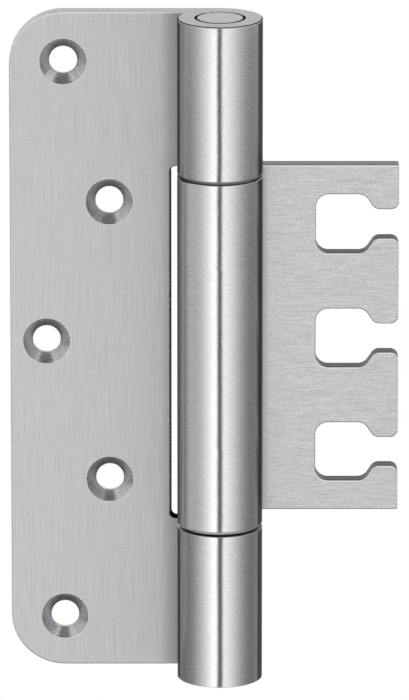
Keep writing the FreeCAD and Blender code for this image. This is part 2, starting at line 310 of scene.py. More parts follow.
def knuckle_steel(name, shade_step_band):
    """Steel linished round the pin, with painted shade down its sides: a lighter step on its left beside the
    dark band.
    """
    return ground_steel(
        name, (1.6, 1.6, 0.14), 0.2, streak=KNUCKLE_STREAK, anisotropy=0.85, grain_turn=0.25, depth_mm=0.035,
        pits=ROLL_PITS, shade_and_burnish_bands=(shade_step_band, *KNUCKLE_SIDE_SHADES), edge=KNUCKLE_SHADE_TINT)


# samples along a roll's end cut, and the share of the roll after which its bore side leads
CUT_SAMPLES = 400
LEAD_START = 0.75


def end_turn(radius, outer_end, inner_end):
    """Angle at which the roll's straight end cut passes a radius, between its outer and inner corner."""
    share = np.linspace(0, 1, CUT_SAMPLES)[:, None]
    cut = (1 - share) * np.array(outer_end) + share * np.array(inner_end)
    reach, angle = np.hypot(cut[:, 0], cut[:, 1]), np.unwrap(np.arctan2(cut[:, 1], cut[:, 0]))
    return abs(np.interp(radius, reach[::-1], angle[::-1]) - angle[0])


def rolled_lead(turn, roll_turn, lead):
    """Extra turn of the bore side, which grows over the roll's last quarter to the lead of its end cut."""
    return lead * np.clip((turn - LEAD_START * roll_turn) / ((1 - LEAD_START) * roll_turn), 0, 1)


sheet_in = KNUCKLE_R - SHEET
slope_along = np.array([np.cos(CRANK_TURN), np.sin(CRANK_TURN)])
slope_out = np.array([-np.sin(CRANK_TURN), np.cos(CRANK_TURN)])
bend_centre_y = FRAME_FACE_Y - CRANK_INNER_R
bend_centre_x = (slope_out[1] * bend_centre_y - (sheet_in - CRANK_INNER_R)) / np.sin(CRANK_TURN)
bend_centre = np.array([bend_centre_x, bend_centre_y])
bend_length = (CRANK_INNER_R + SHEET) * CRANK_TURN
bend_end = bend_centre_x - bend_length
slope_length = bend_centre @ slope_along
roll_start_turn = np.pi / 2 + CRANK_TURN
frame_roll_start = bend_end - slope_length
frame_end = frame_roll_start - KNUCKLE_R * FRAME_ROLL_TURN
outer_angle = roll_start_turn + FRAME_ROLL_TURN
inner_angle = roll_start_turn - np.arccos(sheet_in / FRAME_BORE_R) + 2 * np.pi - SEAM_TURN
outer_corner = KNUCKLE_R * np.array([np.cos(outer_angle), np.sin(outer_angle)])
inner_corner = FRAME_BORE_R * np.array([np.cos(inner_angle), np.sin(inner_angle)])
# a slight flat on the knuckle's left: where it leaves the round and where it ends in a corner, both from
# straight ahead, and the turn over which samples are averaged to round that corner
FLAT_END, FLAT_CORNER, FLAT_ROUND = np.radians((30.7, 52.5, 14))
AHEAD = 1.5 * np.pi
FLAT_SAMPLES = 9


def frame_bent(blank):
    """Bends the frame blank: flat, round the crank, down the slope, then round the pin.

    The back and face of the sheet follow their own curves, and a depth lies between the two. On its left the
    knuckle has a slight flat: a line tangent to the round, which ends in a rounded corner."""
    along, depth, height = blank.T
    gone = bend_centre_x - along
    bend = np.clip(gone / (CRANK_INNER_R + SHEET), 0, CRANK_TURN)
    left = slope_length - np.clip(gone - bend_length, 0, slope_length)
    turn = np.clip(gone - bend_length - slope_length, 0, None) / KNUCKLE_R
    in_seat = np.minimum(FRAME_TOP - height, height - FRAME_BOTTOM) < BUSH_SEAT_DEPTH
    bore = np.where(in_seat, BUSH_SEAT_R, FRAME_BORE_R)
    seat_lead, bore_lead = (
        end_turn(radius, outer_corner, inner_corner) for radius in (BUSH_SEAT_R, FRAME_BORE_R))
    inner_turn = turn + rolled_lead(turn, FRAME_ROLL_TURN, np.where(in_seat, seat_lead, bore_lead))

    def curve(flat_y, bend_r, rise, roll_r, roll_turn):
        """One side of the sheet: its flat, its bend, its slope and its roll, each where it applies."""
        bent_part = bend_centre[:, None] + bend_r * np.stack((-np.sin(bend), np.cos(bend)))
        slope_part = slope_out[:, None] * rise + slope_along[:, None] * left
        angle = roll_start_turn + roll_turn
        roll_part = roll_r * np.stack((np.cos(angle), np.sin(angle)))
        flat_part = np.stack((along, np.full_like(along, flat_y)))
        flat_or_bent = np.where(gone > 0, bent_part, flat_part)
        return np.where(turn > 0, roll_part, np.where(gone > bend_length, slope_part, flat_or_bent))

    reamed = np.sqrt(np.clip(bore ** 2 - left ** 2, 0, None))
    face = curve(FRAME_FACE_Y, CRANK_INNER_R, np.maximum(sheet_in, reamed), bore, inner_turn)
    aside = AHEAD - roll_start_turn - turn
    aside = aside + np.linspace(-0.5, 0.5, FLAT_SAMPLES)[:, None] * FLAT_ROUND
    flat_rise = KNUCKLE_R / np.cos(np.clip(aside, FLAT_END, FLAT_CORNER) - FLAT_END) - KNUCKLE_R
    fall = np.clip((np.pi / 2 - aside) / (np.pi / 2 - FLAT_CORNER), 0, 1) ** 2
    knuckle_r = KNUCKLE_R + np.mean(flat_rise * fall, 0)
    back = curve(FRAME_FACE_Y + SHEET, CRANK_INNER_R + SHEET, KNUCKLE_R, knuckle_r, turn)
    x, y = face + (back - face) * depth / SHEET
    return np.column_stack((x, y, height))


# corners of the upper half of a hook slot, from its mouth in: (x, height from the slot's middle, radius)
hook_half = np.array([
    (FRAME_REACH, MOUTH_HEIGHT / 2, HOOK_TIP_R), (MOUTH_START_X, MOUTH_HEIGHT / 2, MOUTH_START_R),
    (SLOT_SHOULDER_X, SLOT_HEIGHT / 2, SLOT_SHOULDER_R), (SLOT_INNER_X, SLOT_HEIGHT / 2, SLOT_INNER_R)])
hook_slot = np.concatenate((hook_half, hook_half[::-1] * (1, -1, 1)))[::-1]
frame_middle = (FRAME_TOP + FRAME_BOTTOM) / 2
slot_offsets = (np.arange(SLOT_COUNT) - (SLOT_COUNT - 1) / 2) * SLOT_PITCH
slot_corners = np.concatenate([hook_slot + (0, frame_middle + offset, 0) for offset in slot_offsets])
frame_corners = np.concatenate((
    [(frame_end, FRAME_BOTTOM, 0), (FRAME_REACH, FRAME_BOTTOM, FRAME_CORNER_R)], slot_corners,
    [(FRAME_REACH, FRAME_TOP, FRAME_CORNER_R), (frame_end, FRAME_TOP, 0)]))
# turn of a step round a knuckle, steps of the crank and its slope, and the spacing of points up a knuckle
ROLL_STEP = np.radians(2.5)
CRANK_STEPS, SLOPE_STEPS = 12, 17
GRID_PITCH = 4.0
# how close counts as on a line, and how far points stay off a seam and an end
NEAR, SEAM_MARGIN, EDGE_MARGIN = 0.01, 0.1, 1.0
roll_stations = np.linspace(frame_roll_start, frame_end, int(FRAME_ROLL_TURN / ROLL_STEP) + 1)[:-1]
frame_stations = np.concatenate((
    roll_stations, np.linspace(bend_centre_x, bend_end, CRANK_STEPS + 1),
    np.linspace(bend_end, frame_roll_start, SLOPE_STEPS + 1)[1:-1]))
frame_outline = cut_outline(frame_corners, frame_stations)
along, height = frame_outline.T
# widths of the eased edges: round the back, on the face, on a knuckle's rim, where sheared, where left sharp
EDGE_BREAK, FACE_BREAK, ROLL_BREAK, SHEARED_BREAK, SHARP_BREAK = 0.35, 0.28, 0.12, 0.12, 0.04
bore_start = frame_roll_start + np.sqrt(BUSH_SEAT_R ** 2 - sheet_in ** 2)
cut_break = np.where(along > FRAME_REACH - NEAR, SHEARED_BREAK, FACE_BREAK)
rolled_break = np.where(along > frame_end + SEAM_MARGIN, ROLL_BREAK, SHARP_BREAK)
frame_rim = eased_rim(
    frame_outline, np.where(along > bore_start, cut_break, SHARP_BREAK),
    np.where(along > frame_roll_start, EDGE_BREAK, rolled_break))
# the bore steps out to a bush seat between two levels, each this far from the step
SEAT_EDGE = 0.01
seat_ends = (FRAME_BOTTOM + BUSH_SEAT_DEPTH, FRAME_TOP - BUSH_SEAT_DEPTH)
frame_levels = np.concatenate((
    np.arange(FRAME_BOTTOM + GRID_PITCH, FRAME_TOP - EDGE_MARGIN, GRID_PITCH),
    np.add.outer(seat_ends, (-SEAT_EDGE, SEAT_EDGE)).ravel()))
frame_grid = np.stack(np.meshgrid(frame_stations, frame_levels), 2).reshape(-1, 2)
FRAME_STEEL, FRAME_STREAK = "#C0C1C3", "#9E9FA1"
EASED_STEEL, EASED_STREAK = "#CFD0D2", "#C4C5C7"
CUT_STEEL, CUT_STREAK = "#8E8F93", "#75767A"
PUNCHED_STEEL, PUNCHED_STREAK = "#626366", "#4C4D50"
BURNISHED, PUNCH_BURNISHED = "#B2B3B6", "#7C7D80"
# painted shade: a soft darker band on the frame leaf beside the middle knuckle, as its contact shadow
FRAME_CONTACT_SHADE = (ACROSS, 9.0, 1.5, 1.2, CONTACT_SHADE)
# painted shade: a lighter step down the middle knuckle's left side
MIDDLE_KNUCKLE_SHADE_STEP = (ACROSS, -9.15, 0.3, 0.3, SIDE_SHADE_STEP)
# smooth band in the middle of a wall, without its colour
WALL_BAND = (THROUGH, 11.7, 0.6, 0.9)
# satin flat: fine level lines, with a highlight that spreads upright, and painted shade beside the knuckle
lengthwise_brushed_steel = ground_steel(
    "lengthwise_brushed_steel", (4, 0.2, 0.17), 0.3, FRAME_STEEL, FRAME_STREAK, anisotropy=0.95,
    grain_turn=0.25, shade_and_burnish_bands=(FRAME_CONTACT_SHADE,))
# bright roll: lines round the pin, dents that make the edges of its reflections gritty, and painted shade on
# its sides
middle_knuckle_steel = knuckle_steel("middle_knuckle_steel", MIDDLE_KNUCKLE_SHADE_STEP)
# smooth bright hairline along every edge
eased_edge_steel = ground_steel(
    "eased_edge_steel", (0.5, 0.5, 0.5), 0.25, EASED_STEEL, EASED_STREAK, depth_mm=0.001)
# matt grey wall, burnished in the middle of the sheet and torn at both edges
cut_edge_steel = ground_steel(
    "cut_edge_steel", (0.5, 0.5, 0.5), 0.5, CUT_STEEL, CUT_STREAK, shade_and_burnish_bands=((*WALL_BAND, BURNISHED),))
# the same, but darker, as a punch leaves the slots' walls
punched_slot_steel = ground_steel(
    "punched_slot_steel", (0.5, 0.5, 0.5), 0.5, PUNCHED_STEEL, PUNCHED_STREAK,
    shade_and_burnish_bands=((*WALL_BAND, PUNCH_BURNISHED),))
# finishes of the frame leaf's walls
CUT, PUNCHED = 3, 4
slotted_half = (FRAME_TOP - FRAME_BOTTOM) / 2 - EDGE_MARGIN
is_punched = (along > bore_start) & (np.abs(height - frame_middle) < slotted_half)
frame_rim_finish = np.where(WALL_STRIP, np.where(is_punched, PUNCHED, CUT)[:, None], EASED)
frame_leaf = make_leaf(
    "cranked_frame_leaf", [frame_rim], [frame_rim_finish], [frame_grid, frame_grid],
    frame_bent, lambda along: along < frame_roll_start,
    [lengthwise_brushed_steel, middle_knuckle_steel, eased_edge_steel, cut_edge_steel, punched_slot_steel])
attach(frame_leaf, "frame_side")
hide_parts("frame_leaf")

# Bearing bushes: flanged dry bearings rolled from steel strip with a sliding layer, pushed into both ends of
# the middle knuckle. Only the rim of the flange shows, dull steel, recessed in the gap between two knuckles.
BUSH_BORE_R, BUSH_R, BUSH_FLANGE_R = 6.02, 6.98, 9.2
BUSH_LENGTH, BUSH_FLANGE, BUSH_LEAD_IN = 20.0, 0.79, 0.4
BUSH_ROUND, BUSH_SMALL_ROUND = 0.15, 0.1
TURN_COUNT = 128
BUSH_STEEL, BUSH_STREAK, BUSH_SHADE = "#C2C3C5", "#ACADAF", "#8B8C8E"
# painted shade: the upper flange, in the gap under the upper knuckle, is painted darker
UPPER_FLANGE_SHADE = (UP, FRAME_TOP, 2 * BUSH_FLANGE, 0.1, BUSH_SHADE)


def ring_piece(name, grid, finish, materials):
    """Closed piece from a (turn, row) grid of points, where each row goes round in a ring.

    Points that fall together, at a pole or where a profile closes, are welded."""
    points, ids = np.unique(np.round(grid.reshape(-1, 3), 6), axis=0, return_inverse=True)
    quads = ring_quads(ids.reshape(grid.shape[:2]))
    kept = quads != np.roll(quads, 1, 1)
    faces = [quad[keep].tolist() for quad, keep in zip(quads, kept)]
    uv = ring_uv(grid).reshape(-1, 4, 2)[kept]
    return make_piece(name, points, faces, uv, np.tile(finish, len(grid)), materials)


def turned(profile):
    """Each (radius, height) point of the profile carried in a circle round the pin axis."""
    turns = np.linspace(0, -2 * np.pi, TURN_COUNT, endpoint=False)[:, None]
    radius, height = profile.T
    x = radius * np.cos(turns)
    return np.stack((x, radius * np.sin(turns), np.broadcast_to(height, x.shape)), 2)


# dull grey ring, with painted shade on the upper flange
bush_steel = ground_steel(
    "rolled_bush_steel", (0.4, 0.4, 0.1), 0.55, BUSH_STEEL, BUSH_STREAK, shade_and_burnish_bands=(UPPER_FLANGE_SHADE,))
bush_corners = np.array([
    (BUSH_BORE_R, -BUSH_LENGTH, BUSH_ROUND), (BUSH_R - BUSH_LEAD_IN, -BUSH_LENGTH, BUSH_SMALL_ROUND),
    (BUSH_R, -BUSH_LENGTH + BUSH_LEAD_IN, BUSH_SMALL_ROUND), (BUSH_R, 0.0, BUSH_SMALL_ROUND),
    (BUSH_FLANGE_R, 0.0, BUSH_ROUND), (BUSH_FLANGE_R, BUSH_FLANGE, BUSH_ROUND),
    (BUSH_BORE_R, BUSH_FLANGE, BUSH_ROUND)])
for name, end, outward in (("upper", FRAME_TOP, 1), ("lower", FRAME_BOTTOM, -1)):
    profile = cut_outline(bush_corners)[::outward] * (1, outward) + (0, end)
    profile = np.concatenate((profile, profile[:1]))
    bush = ring_piece(f"{name}_flanged_bush", turned(profile), np.zeros(len(profile) - 1, int), [bush_steel])
    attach(bush, "frame_side")
    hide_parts(f"{name}_bearing_bush")

# Door leaf: stainless sheet with large outer corners and five countersunk screw holes, rolled at its inner
# edge into the upper and the lower knuckle. The flat is brushed upright, the knuckles are linished round.
DOOR_REACH, DOOR_CORNER_R = 49.2, 12.6
DOOR_BORE_R = 6.0
DOOR_SEAM, SEAM_CORNER_R, FOOT_STEP = 0.3, 0.35, 1.1
NOTCH_REACH, NOTCH_CORNER_R, NOTCH_LEAN = 11.35, 1.3, 0.38
HOLE_R, COUNTERSINK_R, HOLE_PITCH = 3.25, 5.5, 33.8
# distance of each screw hole from the outer edge, from the lowest hole up
HOLE_EDGE_DISTANCES = (12.6, 23.3, 8.5, 23.3, 12.6)
# the drill breaks out wider at the back, where the edge is eased in two steps
BREAK_OUT, SINK_EASE, EASE_SHARE = 0.45, 0.14, 0.3
SINK_TURN, SINK_ROWS = np.radians(45), 4
GRUB_HOLE_R, GRUB_Z = 2.5, HINGE_HEIGHT - END_KNUCKLE / 2
# the grub hole's edge at the back is eased in two steps, and one row of points lies about halfway in
GRUB_EASE, GRUB_EASE_STEP, GRUB_ROW_DEPTH = 0.2, 0.06, 2.0
CIRCLE_STEPS = 96
# the door's bore is reamed into its flat up to this line, in this many steps
BORE_EDGE_X, BORE_EDGE_STEPS = -2.6, 8
KNUCKLE_PITCH = 3.7
# on the face, the grid stays clear of the grub hole, which is stretched there and so not round its middle
GRUB_CLEAR_X, GRUB_CLEAR_R = 0.9, 4.4
# on the back, rings of points round the grub hole and a fine patch beside them keep the roll's shading even
RING_OFFSETS, RING_CLEAR = (0.6, 1.1, 1.7), 2.1
PATCH_END, PATCH_HALF, PATCH_STEP, PATCH_CLEAR = 8.0, 5.2, 0.65, 5.5
# finishes of the door leaf's walls and holes
PAINTED_DARK_FINISH, SUNK, FACED = 3, 4, 5
DOOR_STEEL, DOOR_STREAK = "#CECFD1", "#B6B7B9"
SINK_STEEL, SINK_STREAK = "#C6C7C9", "#A9AAAC"
SINK_PITS = (0.4, 0.015)
# painted shade: the notch's walls are near black and stay dark at a grazing angle too
PAINTED_DARK, PAINTED_DARK_STREAK, PAINTED_DARK_EDGE = "#232425", "#18191A", "#303030"
# painted shade: a soft darker band on the door leaf beside its knuckles, as their contact shadow
DOOR_CONTACT_SHADE = (ACROSS, -8.5, 1.7, 3.9, CONTACT_SHADE)
# painted shade: a lighter step down the end knuckles' left side, by the door leaf
END_KNUCKLE_SHADE_STEP = (ACROSS, -8.75, 0.65, 0.1, SIDE_SHADE_STEP)
upper_knuckle = HINGE_HEIGHT - END_KNUCKLE
seam_y = sheet_in - DOOR_SEAM
door_roll_turn = 2 * np.pi - np.arccos(seam_y / KNUCKLE_R)
door_inner_turn = 2 * np.pi - np.arccos(seam_y / DOOR_BORE_R)
door_end = KNUCKLE_R * door_roll_turn
roll_end_x = -np.sqrt(KNUCKLE_R ** 2 - seam_y ** 2)


def door_bent(blank):
    """Bends the door blank: flat up to the pin axis, then round the pin, over the right to the front.

    The back rolls on the knuckle's radius and the face on the reamed bore's, and a depth lies between."""
    along, depth, height = blank.T
    turn = np.clip(along, 0, None) / KNUCKLE_R
    inner_turn = turn + rolled_lead(turn, door_roll_turn, door_inner_turn - door_roll_turn)
    reamed = np.sqrt(np.clip(DOOR_BORE_R ** 2 - along ** 2, 0, None))
    flat_face = np.stack((along, np.maximum(sheet_in, reamed)))
    flat_back = np.stack((along, np.full_like(along, KNUCKLE_R)))
    face = np.where(along < 0, flat_face, DOOR_BORE_R * np.stack((np.sin(inner_turn), np.cos(inner_turn))))
    back = np.where(along < 0, flat_back, KNUCKLE_R * np.stack((np.sin(turn), np.cos(turn))))
    x, y = face + (back - face) * depth / SHEET
    return np.column_stack((x, y, height))


def hole_rim(centre, radii, depths):
    """Hole carried through the sheet: circles of these radii at these depths round one centre."""
    turns = np.linspace(0, -2 * np.pi, CIRCLE_STEPS, endpoint=False)[:, None]
    along, height = centre[0] + radii * np.cos(turns), centre[1] + radii * np.sin(turns)
    return np.stack((along, np.broadcast_to(depths, along.shape), height), 2)


door_stations = np.concatenate((
    np.linspace(0, door_end, int(door_roll_turn / ROLL_STEP) + 1)[:-1],
    np.linspace(BORE_EDGE_X, 0, BORE_EDGE_STEPS + 1)[:-1]))
door_outline = cut_outline([
    (-DOOR_REACH, FOOT_STEP, DOOR_CORNER_R), (roll_end_x, FOOT_STEP, 0), (roll_end_x, 0, 0),
    (door_end, 0, SEAM_CORNER_R), (door_end, END_KNUCKLE, SEAM_CORNER_R),
    (-NOTCH_REACH, END_KNUCKLE, NOTCH_CORNER_R), (-NOTCH_REACH, upper_knuckle, NOTCH_CORNER_R),
    (door_end, upper_knuckle, SEAM_CORNER_R), (door_end, HINGE_HEIGHT, SEAM_CORNER_R),
    (-DOOR_REACH, HINGE_HEIGHT, DOOR_CORNER_R)], door_stations)
along, height = door_outline.T
in_notch = (height > END_KNUCKLE - NEAR) & (height < upper_knuckle + NEAR) & (along < 0)
is_top = height > HINGE_HEIGHT - NEAR
back_break = np.where((along < 0) | is_top, EDGE_BREAK, ROLL_BREAK)
door_rim = eased_rim(
    door_outline, np.where(along < BORE_EDGE_X, FACE_BREAK, SHARP_BREAK),
    np.where(along < door_end - 2 * SEAM_CORNER_R, back_break, SHARP_BREAK),
    np.where(in_notch, NOTCH_LEAN, 0))
# a screw hole from face to back: rounded rim, countersink down to the hole, then its break-out
swing = np.linspace(0, SINK_TURN, SINK_ROWS)
rim_round = 2 * SINK_EASE
foot_r = HOLE_R + BREAK_OUT
sink_radii = np.concatenate((
    COUNTERSINK_R + rim_round * (np.tan(SINK_TURN / 2) - np.sin(swing)),
    [HOLE_R, foot_r - SINK_EASE, foot_r - SINK_EASE * EASE_SHARE, foot_r]))
sink_depths = np.concatenate((
    rim_round * (1 - np.cos(swing)),
    [COUNTERSINK_R - HOLE_R, SHEET - SINK_EASE, SHEET - SINK_EASE * EASE_SHARE, SHEET]))
hole_count = len(HOLE_EDGE_DISTANCES)
hole_heights = (FOOT_STEP + HINGE_HEIGHT) / 2 + (np.arange(hole_count) - (hole_count - 1) / 2) * HOLE_PITCH
hole_rims = [hole_rim((edge - DOOR_REACH, level), sink_radii, sink_depths)
             for edge, level in zip(HOLE_EDGE_DISTANCES, hole_heights)]
grub_rim = hole_rim(
    (0, GRUB_Z), GRUB_HOLE_R + np.array([0, 0, 0, 0, GRUB_EASE_STEP, GRUB_EASE]),
    np.array([0, GRUB_EASE, GRUB_ROW_DEPTH, SHEET - GRUB_EASE, SHEET - GRUB_EASE_STEP, SHEET]))
# past the pin axis the hole is drilled through the roll, so its points lie further along in the blank
across = np.clip(grub_rim[:, :, 0], 0, None)
wall_r = DOOR_BORE_R + (KNUCKLE_R - DOOR_BORE_R) * grub_rim[:, :, 1] / SHEET
grub_rim[:, :, 0] = np.where(across > 0, KNUCKLE_R * np.arcsin(across / wall_r), grub_rim[:, :, 0])
knuckle_levels = np.arange(GRID_PITCH, END_KNUCKLE - EDGE_MARGIN, KNUCKLE_PITCH)
door_levels = np.concatenate((knuckle_levels, upper_knuckle + knuckle_levels))
door_grid = np.stack(np.meshgrid(door_stations, door_levels), 2).reshape(-1, 2)
from_clear = np.hypot(door_grid[:, 0] - GRUB_CLEAR_X, door_grid[:, 1] - GRUB_Z)
door_face_grid = door_grid[from_clear > GRUB_CLEAR_R]
patch_levels = GRUB_Z + np.arange(-PATCH_HALF, PATCH_HALF + PATCH_STEP / 2, PATCH_STEP)
patch = np.stack(np.meshgrid(door_stations[door_stations < PATCH_END], patch_levels), 2).reshape(-1, 2)
patch = patch[np.hypot(patch[:, 0], patch[:, 1] - GRUB_Z) > GRUB_HOLE_R + RING_CLEAR]
rings = hole_rim((0, GRUB_Z), GRUB_HOLE_R + np.array(RING_OFFSETS), np.zeros(len(RING_OFFSETS)))
off_patch = (np.abs(door_grid[:, 1] - GRUB_Z) > PATCH_CLEAR) | (door_grid[:, 0] >= PATCH_END)
door_back_grid = np.concatenate((door_grid[off_patch], patch, rings[:, :, (0, 2)].reshape(-1, 2)))
# satin flat: fine upright lines, with a soft highlight that spreads level, and painted shade beside the
# knuckles
upright_brushed_steel = ground_steel(
    "upright_brushed_steel", (0.22, 0.22, 14), 0.46, DOOR_STEEL, DOOR_STREAK, anisotropy=0.88,
    fleck_share=0.32, shade_and_burnish_bands=(DOOR_CONTACT_SHADE,))
# bright rolls like the middle one, with a wider step of painted shade on the left
end_knuckle_steel = knuckle_steel("end_knuckle_steel", END_KNUCKLE_SHADE_STEP)
# glossy turned rings round the holes, dark at the top and light at the sides
countersunk_steel = ground_steel(
    "countersunk_steel", (0.6, 0.3, 0.6), 0.2, SINK_STEEL, SINK_STREAK, anisotropy=0.6, grain_turn=0.25,
    pits=SINK_PITS)
# plain bright strips along the top edge and the knuckles' ends
faced_edge_steel = ground_steel("faced_edge_steel", (0.35, 0.35, 0.35), 0.32)
# painted shade: near-black walls, out of the light between the knuckles; the same paint draws the dark line
# round the upper end's rim
painted_dark_steel = ground_steel("painted_dark_steel", (0.5, 0.5, 0.5), 0.5, PAINTED_DARK, PAINTED_DARK_STREAK, edge=PAINTED_DARK_EDGE)
door_rim_finish = np.where(WALL_STRIP, np.where(in_notch, PAINTED_DARK_FINISH, FACED)[:, None], EASED)
# painted reflection: a dark line round the upper end's rim, where its rounding mirrors the dark ceiling
rim_line = (len(CHAMFER), len(CHAMFER) + 1)
door_rim_finish[np.ix_((along > 0) & is_top, rim_line)] = PAINTED_DARK_FINISH
door_leaf = make_leaf(
    "rolled_door_leaf", [door_rim, *hole_rims, grub_rim], [door_rim_finish, *[SUNK] * hole_count, EASED],
    [door_face_grid, door_back_grid], door_bent, lambda along: along > 0,
    [upright_brushed_steel, end_knuckle_steel, eased_edge_steel, painted_dark_steel, countersunk_steel,
     faced_edge_steel])
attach(door_leaf, "door_side")
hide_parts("door_leaf")

# Hinge pin: steel rod through all three knuckles, faced bright and flush with their ends. Its chamfers and
# sides are painted near black, as painted shade in the groove by the bore. A groove takes the tip of the grub
# screw.
PIN_R, PIN_CHAMFER, PIN_ROUND = 5.98, 0.7, 0.08
GROOVE_R, GROOVE_WIDTH, GROOVE_ROUND = 5.5, 5.4, 0.1
GROOVE_SHADE_STREAK, GROOVE_SHADE = "#232425", "#303132"
groove_bottom, groove_top = GRUB_Z - GROOVE_WIDTH / 2, GRUB_Z + GROOVE_WIDTH / 2
pin_profile = cut_outline([
    (0, 0, 0), (PIN_R - PIN_CHAMFER, 0, PIN_ROUND), (PIN_R, PIN_CHAMFER, PIN_ROUND),
    (PIN_R, groove_bottom, GROOVE_ROUND), (GROOVE_R, groove_bottom, GROOVE_ROUND),
    (GROOVE_R, groove_top, GROOVE_ROUND), (PIN_R, groove_top, GROOVE_ROUND),
    (PIN_R, HINGE_HEIGHT - PIN_CHAMFER, PIN_ROUND), (PIN_R - PIN_CHAMFER, HINGE_HEIGHT, PIN_ROUND),
    (0, HINGE_HEIGHT, 0)])
# bright disc at each end
ground_pin_steel = ground_steel("ground_pin_steel", (0.3, 0.3, 0.3), 0.3)
# painted shade: black ring round that disc, for the groove between the chamfer and the bore
groove_shade_pin_steel = ground_steel("groove_shade_pin_steel", (0.3, 0.3, 0.3), 0.55, GROOVE_SHADE, GROOVE_SHADE_STREAK)
is_shade_painted = (pin_profile[:-1, 0] + pin_profile[1:, 0]) / 2 > PIN_R - PIN_CHAMFER
pin = ring_piece(
    "faced_hinge_pin", turned(pin_profile), is_shade_painted * 1, [ground_pin_steel, groove_shade_pin_steel])
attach(pin, "door_side")
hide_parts("hinge_pin")

# Grub screw: small steel set screw with a hexagon socket, screwed into the back of the upper knuckle until
# its tip sits in the pin's groove.
GRUB_R, GRUB_CHAMFER = 2.45, 0.4
GRUB_TIP_Y, GRUB_HEAD_Y = 5.52, 9.5
SOCKET_FLATS, SOCKET_DEPTH, SOCKET_EASE, FLOOR_EASE = 2.5, 1.8, 0.1, 0.05
HEXAGON_TURN, GRUB_STEP = np.radians(60), 5
GRUB_STEEL, GRUB_STREAK = "#A6A7A9", "#8C8D8F"
grub_turns = np.radians(np.arange(0, 360, GRUB_STEP))[:, None]
hexagon = SOCKET_FLATS / 2 / np.cos((grub_turns % HEXAGON_TURN) - HEXAGON_TURN / 2)
socket_floor = GRUB_HEAD_Y - SOCKET_DEPTH
grub_profile = np.array([
    (0, GRUB_TIP_Y), (GRUB_R - GRUB_CHAMFER, GRUB_TIP_Y), (GRUB_R, GRUB_TIP_Y + GRUB_CHAMFER),
    (GRUB_R, GRUB_HEAD_Y - GRUB_CHAMFER), (GRUB_R - GRUB_CHAMFER, GRUB_HEAD_Y)])
# the socket's rows follow the hexagon: its eased mouth, its wall and its floor
socket_rows = np.array([
    (SOCKET_EASE, GRUB_HEAD_Y), (0, GRUB_HEAD_Y - SOCKET_EASE),
    (0, socket_floor + FLOOR_EASE), (-FLOOR_EASE, socket_floor)])
grub_radius = np.hstack((np.broadcast_to(grub_profile[:, 0], (len(grub_turns), len(grub_profile))),
                         hexagon + socket_rows[:, 0], 0 * hexagon))
grub_y = np.concatenate((grub_profile[:, 1], socket_rows[:, 1], [socket_floor]))
grub_grid = np.stack((grub_radius * np.cos(grub_turns), np.broadcast_to(grub_y, grub_radius.shape),
                      GRUB_Z + grub_radius * np.sin(grub_turns)), 2)
# plain, darker than the leaves, so that the screw reads as a piece of its own
set_screw_steel = ground_steel("set_screw_steel", (0.2, 0.2, 0.2), 0.35, GRUB_STEEL, GRUB_STREAK)
grub_screw = ring_piece("socket_grub_screw", grub_grid, np.zeros(len(grub_y) - 1, int), [set_screw_steel])
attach(grub_screw, "door_side")
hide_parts("pin_grub_screw")

# Studio: a white room with a pale floor well below the hinge, which hangs free as its holder would keep it.
# A round light tent shapes what the steel mirrors. Two grey flags are out of the camera's sight: a slim and
# leaning one in front draws the dark line down the knuckles, and a round one below greys what faces down.
FLOOR_Z, FLOOR_R = -0.6, 1.5
TENT_R, TENT_TOP = 0.7, 0.75
# where the tent's wall changes from one part to the next, and its ceiling from rim to middle
LOWER_TOP, UPPER_FOOT, UPPER_TOP, HIGH_FOOT = -0.02, 0.14, 0.45, 0.6
HIGH_R, CEILING_R, TENT_HUB_R = 0.42, 0.34, 0.01
FLAG_Y, FLAG_BOTTOM, FLAG_TOP = -0.06, -0.3, 0.35
# left and right edge of the slim flag at its foot and at its head
FLAG_BOTTOM_X, FLAG_TOP_X = (-0.0041, 0.0130), (-0.0088, 0.0003)
UNDER_FLAG_R, UNDER_FLAG_Z = 0.27, -0.2
ROOM_WHITE, FLOOR_WHITE, FLAG_GREY, UNDER_GREY = "#FFFFFF", "#EDEDED", "#949494", "#B0B0B0"
# the tent's lower part, which upright faces mirror, glows as if soft lamps stood behind it: a broad one in
# front, a slim key lamp to the left and a broad one behind the hinge. Each has its bearing from the camera
# and its spread, in degrees, positive to the camera's right, and its strength. The sides are dim.
FRONT_LAMP, KEY_LAMP, BACK_LAMP = (-3, 40, 1.4), (-15, 10, 0.3), (180, 40, 0.8)
SIDE_LEVEL = 0.08
# how bright the rest of the tent is at each bearing. Ends and upper edges mirror its upper part. Its high
# part is dark behind the hinge and its ceiling is dim, because the countersinks' tops and feet mirror those
# and are dark.
UPPER_LEVELS = np.array([
    (-180, 0.9), (-120, 0.8), (-60, 0.95), (0, 1.3), (60, 0.95), (120, 0.8), (180, 0.9)])
HIGH_LEVELS = np.array([
    (-180, 0.03), (-120, 0.03), (-60, 1.1), (0, 1.3), (60, 1.1), (90, 1.0), (120, 0.03), (180, 0.03)])
CEILING_LEVELS = np.array([(-180, 0.36), (-110, 0.36), (-70, 0.2), (70, 0.2), (110, 0.36), (180, 0.36)])


def stage_piece(name, points, faces, shader, inputs):
    """Mesh of the studio, not of the hinge, with one plain shader."""
    mesh = bpy.data.meshes.new(name)
    mesh.from_pydata(points.tolist(), [], faces)
    material = bpy.data.materials.new(name)
    material.use_nodes = True
    material.node_tree.nodes.clear()
    surface = add_node(material.node_tree, shader, inputs)
    add_node(material.node_tree, "ShaderNodeOutputMaterial", {"Surface": surface.outputs[0]})
    mesh.materials.append(material)
    piece = bpy.data.objects.new(name, mesh)
    bpy.context.scene.collection.objects.link(piece)
    return piece


